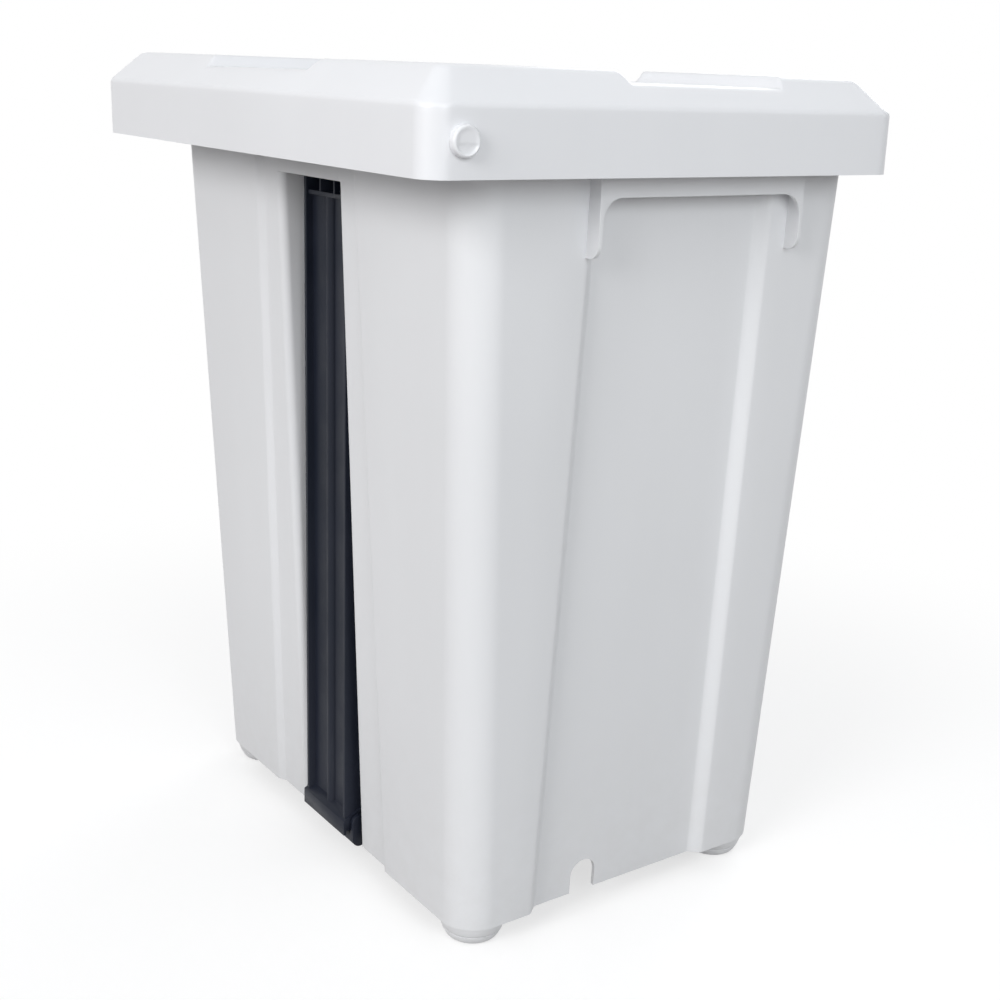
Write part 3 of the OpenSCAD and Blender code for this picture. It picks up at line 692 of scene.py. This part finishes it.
def add_hinge_ear(fit, s):
    """Flange along the side, and the arm with the ring that the hinge pin turns in."""
    ear_in, ear_out, ear_r = lid_hi[0] - 21, lid_hi[0] - 9, 12
    bore_r, clip_r = 6.08, 9
    root, wall_x = TOP_REAR - 40, body_half(FLANGE_Z)
    flange_top = FLANGE_Z + FLANGE
    side_block(
        fit,
        s,
        (wall_x - WALL, LID_Y - 166, FLANGE_Z),
        (ear_out, HINGE_Y - clip_r - 2, flange_top),
    )
    side_block(
        fit, s, (wall_x - WALL, root, FLANGE_Z - 9), (wall_x + 3, HINGE_Y - 16, flange_top)
    )
    side_block(
        fit, s, (ear_in, root, HINGE_Z - 7), (ear_out, HINGE_Y - 6.6, HINGE_Z + 8)
    )
    section = [(ear_in, bore_r), (ear_in, ear_r), (ear_out, ear_r), (ear_out, bore_r)]
    fit.ring(section, lambda along, a, b: (s * along, HINGE_Y + a, HINGE_Z + b))


def add_axle_bearing(fit, s):
    """Upper half of the axle's bearing, with its half-round seat."""
    half, seat_r, split = 24, 5.05, AXLE_Z + 0.15
    start, width = axle_hi[0] - 16.6 - 0.2, 12
    y0, y1 = AXLE_Y - half, AXLE_Y + half
    seat = arc(AXLE_Y, AXLE_Z, seat_r, 180, 0, 14)
    side = [(y0, split)] + [(y, max(z, split)) for y, z in seat]
    side += [(AXLE_Y + seat_r, split), (y1, split), (y1, bottom_height(y1) + 1)]
    side += [(TOE_START, BASE_Z + 1), (y0, bottom_height(y0) + 1)]
    fit.prism(side, lambda u, v, w: (s * (start + w), u, v), width)


def add_foot_boss(fit, x, y):
    """Boss under the body, with the collar that a foot cap pushes into."""
    seam = 8.0
    profile = [
        (seam, 18),
        (seam, foot_radius(seam) - 0.5),
        (seam + 0.45, foot_radius(seam + 0.45)),
        (HEM_Z, FOOT_TOP_R),
        (HEM_Z + 2, 25.8),
        (HEM_Z + 16, 24.5),
        (HEM_Z + 16, 20),
    ]
    fit.lathe(profile, lambda h, a, b: (x + a, y + b, h), 48)


def build_body_fittings():
    """Rod guides, flanges, hinge ears, bearings and foot bosses."""
    fit = Shape()
    foot_x, foot_rear = (cap_lo[0] + cap_hi[0]) / 2, (cap_lo[1] + cap_hi[1]) / 2
    for s in (-1, 1):
        side_block(
            fit,
            s,
            (rod_hi[0] - 2 + 0.3, CHANNEL_Y - 1, SLOT_Z + 2),
            (SLOT_HALF + 1, ROD_FACE - 1, BRIDGE_TOP - 1),
        )
        add_hinge_ear(fit, s)
        add_axle_bearing(fit, s)
        for y in (foot_rear, 2 * FOOT_MID - foot_rear):
            add_foot_boss(fit, s * foot_x, y)
    fit.piece("body_fittings", "bin", "body_plastic", 0.5)


def rounded_polygon(points, radii, n=6):
    """Polygon with its corners rounded; radii may be 0."""
    out = []
    count = len(points)
    for i, (p, r) in enumerate(zip(points, radii)):
        a, b = Vector(points[i - 1]), Vector(points[(i + 1) % count])
        p = Vector(p)
        if r == 0:
            out.append(tuple(p))
            continue
        u, v = (a - p).normalized(), (b - p).normalized()
        angle = u.angle(v)
        reach = r / math.tan(angle / 2)
        centre = p + (u + v).normalized() * (r / math.sin(angle / 2))
        p0, p1 = p + u * reach, p + v * reach
        t0 = math.atan2(p0.y - centre.y, p0.x - centre.x)
        t1 = math.atan2(p1.y - centre.y, p1.x - centre.x)
        while t1 - t0 > math.pi:
            t1 -= 2 * math.pi
        while t1 - t0 < -math.pi:
            t1 += 2 * math.pi
        for k in range(n + 1):
            t = lerp(t0, t1, k / n)
            out.append((centre.x + r * math.cos(t), centre.y + r * math.sin(t)))
    return out


def build_grip(side):
    """Hand grip: a band under the flange and a thin web behind each end."""
    out_x = body_half(GRIP_Z) + GRIP_REACH
    wall = body_half(GRIP_Z) - SIDE_DEPTH - 1
    low, top = GRIP_Z - GRIP_DROP, FLANGE_Z + 1
    front, rear = GRIP_FRONT + GRIP_WALL, GRIP_REAR - GRIP_WALL
    form = Shape().prism(
        rounded_polygon(
            [(wall, low), (out_x, low), (out_x, top), (wall, top)],
            [0, GRIP_SHOULDER, 0, 0],
            8,
        ),
        lambda u, v, w: (side * u, GRIP_FRONT + w, v),
        GRIP_REAR - GRIP_FRONT,
    )
    name = "right" if side > 0 else "left"
    obj = add_piece("hand_grip_" + name, form.verts, form.faces, "bin", "body_plastic")
    ends = sorted((side * (wall - 5), side * (out_x - GRIP_WALL)))
    hollow = Shape().block((ends[0], front, low - 5), (ends[1], rear, FLANGE_Z))
    arch = Shape().prism(
        rounded_polygon(
            [(front, low - 20), (rear, low - 20), (rear, GRIP_Z), (front, GRIP_Z)],
            [0, 0, GRIP_ROUND, GRIP_ROUND],
            10,
        ),
        lambda u, v, w: (side * (out_x - GRIP_WALL - 4 + w), u, v),
        12,
    )
    cut(obj, [hollow, arch])
    soften(obj, 0.55, 3)
    settle(obj)
    finish_shading(obj, 40)


build_body_skin()
build_body_floor()
build_bridge()
build_body_fittings()
for grip_side in (-1, 1):
    build_grip(grip_side)

# ---------------------------------------------------------------- lid

LID_HALF = (lid_hi[0] - lid_lo[0]) / 2
LID_HALF_D = (lid_hi[1] - lid_lo[1]) / 2
BEVEL_Z = SKIRT_Z + 42
BEVEL = 22
LID_WALL = 2.5
HINGE_BORE_R, HINGE_BOSS_R = 6.05, 12
# cross-shaped recess: its depth, the half widths of its arms and the rounding of the pads
RECESS = 8
RECESS_X, RECESS_Y = 76, 64
RECESS_MID = LID_Y - 26
PAD_ROUND = 12
TOP_CREASE, PAD_CREASE, PAD_OVER = 3.5, 3, 4
# the lid's mesh: loops as far in as BORDER, then a grid, closer at the edges of the recess
BORDER = 44
DEEP_IN = 60
GRID_FINE, GRID_COARSE, GRID_NEAR = 1.2, 8, 10


def soft_min(a, b, r):
    """Smaller of a and b, with the crease between them rounded by about r."""
    h = max(r - abs(a - b), 0) / r
    return min(a, b) - h * h * r * 0.25


def pad_share(x, y):
    """0 on the recess floor, 1 on a corner pad, along a slope that is part eased, part straight."""
    overrun = 0.6
    qx = abs(x) - RECESS_X
    qy = abs(y - RECESS_MID) - RECESS_Y
    s = min(qx, qy)
    if qx < PAD_ROUND and qy < PAD_ROUND:
        s = PAD_ROUND - math.hypot(PAD_ROUND - qx, PAD_ROUND - qy)
    eased = ease((s + overrun) / (RECESS + 2 * overrun))
    return eased * 0.5 + clamp01(s / RECESS) * 0.5


def lid_height(x, y, d):
    """Height of the lid's top, d in from the skirt."""
    form = soft_min(BEVEL_Z + d, TOP_Z, TOP_CREASE)
    pads = TOP_Z + PAD_OVER - (RECESS + PAD_OVER) * (1 - pad_share(x, y))
    return soft_min(form, pads, PAD_CREASE)


def lid_lines(limit, edges):
    """Grid lines from -limit to limit, close together near the edges given."""
    lines = []
    at = -limit
    while at < limit - 1e-6:
        lines.append(at)
        near = min(abs(at - edge) for edge in edges)
        reach = min(GRID_COARSE, max(GRID_FINE, near - GRID_NEAR + 1))
        at += GRID_FINE if near < GRID_NEAR else reach
    lines.append(limit)
    return lines


def lid_corner(d, r):
    """Rear right corner d in from the skirt, rounded by r, between two ends of the middle grid."""
    hx, hy = LID_HALF - d, LID_HALF_D - d
    a, b = (LID_HALF - BORDER, hy), (hx, LID_HALF_D - BORDER)
    turns = [math.pi / 2 * (1 - i / 14) for i in range(15)]
    bend = [(hx - r + r * math.cos(t), hy - r + r * math.sin(t)) for t in turns]
    first, last = bend[0], bend[-1]
    run = [(lerp(a[0], first[0], i / 4), lerp(a[1], first[1], i / 4)) for i in range(4)]
    run += bend
    run += [(lerp(last[0], b[0], i / 4), lerp(last[1], b[1], i / 4)) for i in range(1, 4)]
    return run


def lid_loop(d, xs, ys):
    """Outline of the lid d in from the skirt, with the same number of points at every d."""
    hx, hy = LID_HALF - d, LID_HALF_D - d
    r = lerp(17, 8, clamp01(d / BEVEL)) if d < BEVEL else 8
    r = min(r, hx - (LID_HALF - BORDER), hy - (LID_HALF_D - BORDER))
    run = lid_corner(d, r)

    def corner(sx, sy):
        """The corner mirrored by the signs, in the order in which the outline passes it."""
        return [(sx * x, sy * y) for x, y in (run[::-1] if sx != sy else run)]

    # rear side left to right, right side rear to front, and so on
    pts = [(x, hy) for x in xs[:-1]] + corner(1, 1)
    pts += [(hx, y) for y in ys[:0:-1]] + corner(1, -1)
    pts += [(x, -hy) for x in xs[:0:-1]] + corner(-1, -1)
    pts += [(-hx, y) for y in ys[:-1]] + corner(-1, 1)
    return pts


def lid_levels():
    """Loops as (d, z) from the skirt's lower edge inwards; z is None where lid_height gives it."""
    levels = [(0, SKIRT_Z + h) for h in (0, 1.5, 10, 20, 30, 37)]
    # rounded edge between skirt and bevel
    edge_r = 6.0
    reach = edge_r * math.tan(math.radians(22.5))
    for i in range(7):
        t = math.radians(45 * i / 6)
        levels.append(
            (edge_r * (1 - math.cos(t)), BEVEL_Z - reach + edge_r * math.sin(t))
        )
    inner = [4, 6, 8.5, 11] + [12 + 1.1 * i for i in range(1, 17)]
    inner += [32, 35, 39, BORDER - 0.02]
    return levels + [(d, None) for d in inner]


def build_lid():
    """Skirt, bevel and top with its cross-shaped recess, as one skin with a wall."""
    shift = RECESS_MID - LID_Y
    arm_x, arm_y = RECESS_X + RECESS / 2, RECESS_Y + RECESS / 2
    xs = lid_lines(LID_HALF - BORDER, [-arm_x, arm_x])
    ys = lid_lines(LID_HALF_D - BORDER, [shift - arm_y, shift + arm_y])
    levels = lid_levels()
    verts = []
    for d, z in levels:
        loop = lid_loop(d, xs, ys)
        for x, y in loop:
            at_y = y + LID_Y
            verts.append((x, at_y, lid_height(x, at_y, d) if z is None else z))
    faces = grid_faces(len(levels), len(loop), True)
    # middle grid
    base = len(verts)
    verts += [
        (x, y + LID_Y, lid_height(x, y + LID_Y, DEEP_IN)) for y in ys for x in xs
    ]
    faces += [[i + base for i in f] for f in grid_faces(len(ys), len(xs), False)]
    lid = add_piece("lid_shell", verts, faces, "lid", "lid_plastic", weld=0.06)
    top = max(lid.data.polygons, key=lambda f: f.center.z + 0.0001 * f.area)
    if top.normal.z < 0:
        lid.data.flip_normals()
    thicken(lid, LID_WALL)
    finish_shading(lid, 40)
    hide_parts("lid")


def build_lid_fittings():
    """Ribs, hinge bosses, buffer stops and screw bosses under the lid."""
    ceiling = TOP_Z - RECESS - LID_WALL
    rib, margin = 2, 30
    rib_low, rib_top = ceiling - 9, ceiling + LID_WALL / 2
    boss_in, boss_out = lid_hi[0] - 8.5, lid_hi[0] - LID_WALL / 2
    screws_lo, screws_hi = mm_box("lift_bracket_screws")
    fit = Shape()
    for s in (-1, 1):
        x = 58 if s > 0 else -60
        fit.block(
            (x, lid_lo[1] + margin, rib_low), (x + rib, lid_hi[1] - margin, rib_top)
        )
        y = RECESS_MID + s * (RECESS_Y - 8)
        fit.block(
            (lid_lo[0] + margin, y, rib_low), (lid_hi[0] - margin, y + rib, rib_top)
        )
        # hinge boss against the skirt
        section = [(boss_in, HINGE_BORE_R), (boss_in, HINGE_BOSS_R)]
        section += [(boss_out, HINGE_BOSS_R), (boss_out, HINGE_BORE_R)]
        fit.ring(
            section, lambda along, a, b, s=s: (s * along, HINGE_Y + a, HINGE_Z + b)
        )
        # stop that meets the buffer
        fit.lathe(
            [(RIM_Z + 3.3, 5.2), (RIM_Z + 3.3, 6), (TOP_Z - 8, 6)],
            lambda h, a, b, s=s: (s * (LID_HALF - 22) + a, LID_Y - 150 + b, h),
            32,
        )
        for screw_y in (screws_lo[1] + 3.5, screws_hi[1] - 3.5):
            fit.lathe(
                [(ceiling - 6, 4.5), (ceiling + 1.2, 4.5)],
                lambda h, a, b, s=s, y=screw_y: (s * 34 + a, y + b, h),
                28,
            )
    fit.piece("lid_ribs", "lid", "lid_plastic", 0.35)


build_lid()
build_lid_fittings()

# ---------------------------------------------------------------- hinge pins


def build_hinge_pin(side):
    """Pin with a broad head: rounded rim, and a shallow step across its lower half."""
    name = "right" if side > 0 else "left"
    lo, hi = mm_box("hinge_pin_" + name)
    y, z = (lo[1] + hi[1]) / 2, (lo[2] + hi[2]) / 2
    radius = (hi[1] - lo[1]) / 2
    out = max(abs(lo[0]), abs(hi[0]))
    inner = min(abs(lo[0]), abs(hi[0]))
    shank, chamfer = 6, 0.8
    groove_in, groove_out = inner + 1.95, inner + 3.7
    rings = [
        (inner, shank - chamfer),
        (inner + chamfer, shank),
        (groove_in, shank),
        (groove_in, shank - chamfer),
        (groove_out, shank - chamfer),
        (groove_out, shank),
        (LID_HALF, shank),
        (LID_HALF, radius),
    ]
    rim, dish, step = 1.5, 0.4, 0.45
    for i in range(6):
        t = math.radians(90 * i / 5)
        rings.append((out - rim + rim * math.sin(t), radius - rim + rim * math.cos(t)))
    face_start = len(rings)
    rings += [(out - 0.1, radius - 2.4), (out - 0.35, radius - 3.0)]
    rings += [(out - dish, radius - 5), (out - dish, 2.5), (out - dish, 1.0)]
    n = 56
    verts = []
    for k, (along, r) in enumerate(rings):
        for i in range(n):
            t = 2 * math.pi * i / n
            dy, dz = r * math.cos(t), r * math.sin(t)
            # the step: the lower part of the face lies a little deeper
            drop = step * ease((-dz - 1.2) / 0.8) if k >= face_start else 0
            verts.append((side * (along - drop), y + dy, z + dz))
    faces = grid_faces(len(rings), n, True)
    faces.append(list(range(n))[::-1])
    faces.append([(len(rings) - 1) * n + i for i in range(n)])
    pin = add_piece("hinge_knob_" + name, verts, faces, "lid", "lid_plastic")
    finish_shading(pin, 38)
    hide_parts("hinge_pin_" + name)


for pin_side in (-1, 1):
    build_hinge_pin(pin_side)

# ---------------------------------------------------------------- foot caps


def build_foot_cap(node, number):
    """Push-in cap: a cone with a rounded sole and a small land at the seam."""
    lo, hi = mm_box(node)
    x, y = (lo[0] + hi[0]) / 2, (lo[1] + hi[1]) / 2
    sole_r, sole, seam = 14.5, 4.6, 7.95
    profile = [(0, 11.0), (0, sole_r)]
    for i in range(1, 9):
        t = math.radians(72 * i / 8)
        profile.append((sole * (1 - math.cos(t)), sole_r + 6.2 * math.sin(t)))
    profile += [
        (7.3, foot_radius(7.3)),
        (7.75, foot_radius(7.75) - 0.15),
        (seam, foot_radius(seam) - 0.7),
        (seam, 5.2),
        (16, 4.9),
    ]
    shape = Shape().lathe(profile, lambda h, a, b: (x + a, y + b, h), 56)
    cap = shape.piece(f"foot_{number}", "bin", "body_plastic")
    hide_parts(node)


FEET = [f"foot_cap_{end}_{side}" for end in ("front", "rear") for side in ("left", "right")]
for foot_number, foot_node in enumerate(FEET):
    build_foot_cap(foot_node, foot_number)

# ---------------------------------------------------------------- CAD nodes that stay

STAY = {
    "push_rod": ("dark_plastic", 0.7),
    "pedal_lever": ("dark_plastic", 0.9),
    "pedal_tread": ("rubber", 0.5),
    "pedal_axle": ("steel", 0.5),
    "axle_clips": ("steel", 0.2),
    "axle_cap_left": ("body_plastic", 0.5),
    "axle_cap_right": ("body_plastic", 0.5),
    "axle_cap_screws": ("steel", 0.2),
    "lift_bracket": ("dark_plastic", 0.5),
    "lift_bracket_screws": ("steel", 0.2),
    "lift_pin": ("steel", 0.3),
    "lift_pin_clips": ("steel", 0.15),
    "hinge_clip_left": ("steel", 0.2),
    "hinge_clip_right": ("steel", 0.2),
    "lid_buffer_left": ("rubber", 0.8),
    "lid_buffer_right": ("rubber", 0.8),
}
for node, (slot, width) in STAY.items():
    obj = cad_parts[node]
    obj.data.materials.clear()
    obj.data.materials.append(MATERIALS[slot])
    weld = obj.modifiers.new("weld", "WELD")
    weld.merge_threshold = 0.02 * MM
    soften(obj, width, 2, 40)
    finish_shading(obj, 35)

# ---------------------------------------------------------------- floor, light, camera


def white_to_camera(nodes, links):
    """1 for camera, glossy and transmission rays, else 0."""
    path = nodes.new("ShaderNodeLightPath")
    total = path.outputs["Is Camera Ray"]
    for name in ("Is Glossy Ray", "Is Transmission Ray"):
        add = nodes.new("ShaderNodeMath")
        add.operation = "MAXIMUM"
        links.new(total, add.inputs[0])
        links.new(path.outputs[name], add.inputs[1])
        total = add.outputs["Value"]
    return total


def build_world():
    """Even studio light; the camera sees plain white."""
    world = bpy.data.worlds.new("studio")
    scene.world = world
    world.use_nodes = True
    nodes, links = world.node_tree.nodes, world.node_tree.links
    nodes.clear()
    out = nodes.new("ShaderNodeOutputWorld")
    ambient = nodes.new("ShaderNodeBackground")
    ambient.inputs["Color"].default_value = (0.965, 0.98, 1.0, 1)
    ambient.inputs["Strength"].default_value = 0.45
    backdrop = nodes.new("ShaderNodeBackground")
    backdrop.inputs["Color"].default_value = (1, 1, 1, 1)
    backdrop.inputs["Strength"].default_value = 1.0
    mix = nodes.new("ShaderNodeMixShader")
    links.new(white_to_camera(nodes, links), mix.inputs["Fac"])
    links.new(ambient.outputs["Background"], mix.inputs[1])
    links.new(backdrop.outputs["Background"], mix.inputs[2])
    links.new(mix.outputs["Shader"], out.inputs["Surface"])


def build_floor():
    """Pale floor that keeps the object's shadow and fades to white further out."""
    bpy.ops.mesh.primitive_circle_add(vertices=96, radius=14, fill_type="NGON")
    floor = bpy.context.object
    floor.name = "studio_floor"
    mat = bpy.data.materials.new("studio_floor")
    mat.use_nodes = True
    nodes, links = mat.node_tree.nodes, mat.node_tree.links
    nodes.clear()
    out = nodes.new("ShaderNodeOutputMaterial")
    plain = nodes.new("ShaderNodeBsdfDiffuse")
    plain.inputs["Color"].default_value = (0.34, 0.325, 0.315, 1)
    glow = nodes.new("ShaderNodeEmission")
    glow.inputs["Color"].default_value = (1, 1, 1, 1)
    glow.inputs["Strength"].default_value = 0.62
    shade = nodes.new("ShaderNodeBsdfDiffuse")
    shade.inputs["Color"].default_value = (0.42, 0.42, 0.42, 1)
    near = nodes.new("ShaderNodeAddShader")
    links.new(glow.outputs["Emission"], near.inputs[0])
    links.new(shade.outputs["BSDF"], near.inputs[1])
    white = nodes.new("ShaderNodeEmission")
    white.inputs["Strength"].default_value = 1.0
    # far from the object the floor is plain white, so that it has no horizon
    place = nodes.new("ShaderNodeNewGeometry")
    length = nodes.new("ShaderNodeVectorMath")
    length.operation = "LENGTH"
    links.new(place.outputs["Position"], length.inputs[0])
    fade = nodes.new("ShaderNodeMapRange")
    fade.interpolation_type = "SMOOTHSTEP"
    fade.inputs["From Min"].default_value = 0.35
    fade.inputs["From Max"].default_value = 0.95
    links.new(length.outputs["Value"], fade.inputs["Value"])
    seen = nodes.new("ShaderNodeMixShader")
    links.new(fade.outputs["Result"], seen.inputs["Fac"])
    links.new(near.outputs["Shader"], seen.inputs[1])
    links.new(white.outputs["Emission"], seen.inputs[2])
    both = nodes.new("ShaderNodeMixShader")
    links.new(white_to_camera(nodes, links), both.inputs["Fac"])
    links.new(plain.outputs["BSDF"], both.inputs[1])
    links.new(seen.outputs["Shader"], both.inputs[2])
    links.new(both.outputs["Shader"], out.inputs["Surface"])
    floor.data.materials.append(mat)


def add_lamp(name, place, target, size, power, colour=(1, 1, 1)):
    """Round area lamp at place, turned to target."""
    data = bpy.data.lights.new(name, "AREA")
    data.shape = "DISK"
    data.size = size
    data.energy = power
    data.color = colour
    lamp = bpy.data.objects.new(name, data)
    scene.collection.objects.link(lamp)
    lamp.location = place
    lamp.rotation_mode = "QUATERNION"
    lamp.rotation_quaternion = (Vector(target) - Vector(place)).to_track_quat("-Z", "Y")
    lamp.visible_camera = False
    lamp.visible_glossy = True


build_world()
build_floor()
add_lamp("key", (-0.9, 2.75, 1.7), (0, 0, 0.25), 1.7, 55, (1.0, 0.99, 0.985))
add_lamp("side", (-2.9, 0.4, 1.5), (0, 0, 0.25), 1.7, 32, (0.955, 0.985, 1.0))
add_lamp("front", (1.6, -2.8, 1.9), (0, 0, 0.3), 2.2, 34)

CAMERA_AT = Vector((-0.96528, 0.64452, 0.61698))
CAMERA_RIGHT = Vector((-0.58221, -0.81218, 0.03734))
CAMERA_UP = Vector((0.24954, -0.13479, 0.95894))


def build_camera():
    """Camera placed and turned as the photograph's viewer stood."""
    data = bpy.data.cameras.new("camera")
    data.sensor_width = 36
    data.lens = 52.83
    data.shift_x = -0.0306
    data.clip_start = 0.05
    camera = bpy.data.objects.new("camera", data)
    scene.collection.objects.link(camera)
    right, up = CAMERA_RIGHT.normalized(), CAMERA_UP.normalized()
    back = CAMERA_RIGHT.cross(CAMERA_UP).normalized()
    turn = Matrix((right, up, back)).transposed()
    camera.matrix_world = Matrix.Translation(CAMERA_AT) @ turn.to_4x4()
    scene.camera = camera


build_camera()
